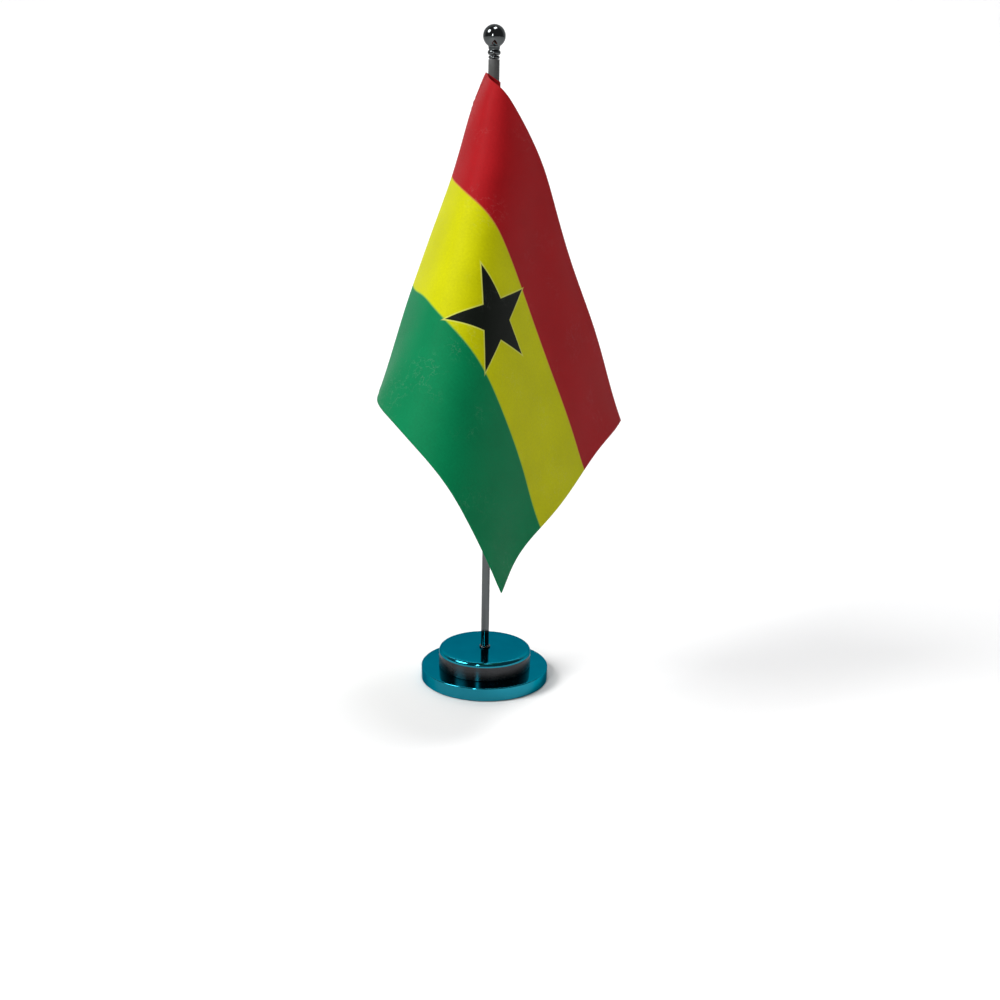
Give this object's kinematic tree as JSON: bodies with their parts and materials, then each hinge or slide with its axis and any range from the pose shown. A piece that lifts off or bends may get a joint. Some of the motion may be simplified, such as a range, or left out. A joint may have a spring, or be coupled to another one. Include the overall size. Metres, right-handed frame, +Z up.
{
  "type": "desk flag stand",
  "caption": "Desk flag stand: weighted two-tier chrome base, screwed round pole with a ball finial, and a small banded cloth flag hanging from a sewn sleeve.",
  "frame": {"origin": "middle of the underside of the foot pad, on the pole's axis", "axes": "+Z up along the pole, -Y towards the viewer, +X to the viewer's right"},
  "size_m": [0.1161, 0.1268, 0.319],
  "materials": {
    "base_chrome": "mirror polish with a teal cast",
    "pole_chrome": "mirror polish",
    "fastener_steel": "zinc plated",
    "ballast_iron": "as cast",
    "bush_brass": "machined",
    "grip_rubber": "matt",
    "pad_foam": "closed-cell foam",
    "flag_fabric": "printed satin polyester: red, yellow and green bands with a black star",
    "hoist_fabric": "printed satin polyester, sewn"
  },
  "bodies": {
    "base": {"foot_pad": "pad_foam", "base_disc": "base_chrome", "ballast_disc": "ballast_iron", "base_drum": "base_chrome", "drum_ballast": "ballast_iron", "bolt_washer": "fastener_steel", "spring_washer": "fastener_steel", "base_bolt": "fastener_steel"},
    "foot_ring": {"joint_ring": "pole_chrome"},
    "pole": {"pole_tube": "pole_chrome", "pole_foot_bush": "bush_brass", "pole_top_bush": "bush_brass", "grip_sleeve": "grip_rubber"},
    "top_ring": {"finial_ring": "pole_chrome"},
    "finial": {"finial": "pole_chrome", "finial_stud": "fastener_steel"},
    "flag": {"hoist_sleeve": "hoist_fabric", "flag_cloth": "flag_fabric"}
  },
  "joints": [
    {"name": "pole_rise", "type": "slide", "parent": "base", "child": "foot_ring", "axis": [0, 0, 1], "range_m": [0, 0.004]},
    {"name": "pole_turn", "type": "hinge", "parent": "foot_ring", "child": "pole", "pos_m": [0, 0, 0.018], "axis": [0, 0, 1], "range_deg": [0, 2880]},
    {"name": "finial_rise", "type": "slide", "parent": "pole", "child": "top_ring", "axis": [0, 0, 1], "range_m": [0, 0.003]},
    {"name": "finial_turn", "type": "hinge", "parent": "top_ring", "child": "finial", "pos_m": [0, 0, 0.306], "axis": [0, 0, 1], "range_deg": [0, 2160]},
    {"name": "flag_swivel", "type": "hinge", "parent": "pole", "child": "flag", "pos_m": [0, 0, 0.23], "axis": [0, 0, 1], "continuous": true}
  ],
  "couplings": [
    {"joint": "pole_turn", "follows": "pole_rise", "rad_per_m": 12566},
    {"joint": "finial_turn", "follows": "finial_rise", "rad_per_m": 12566}
  ]
}
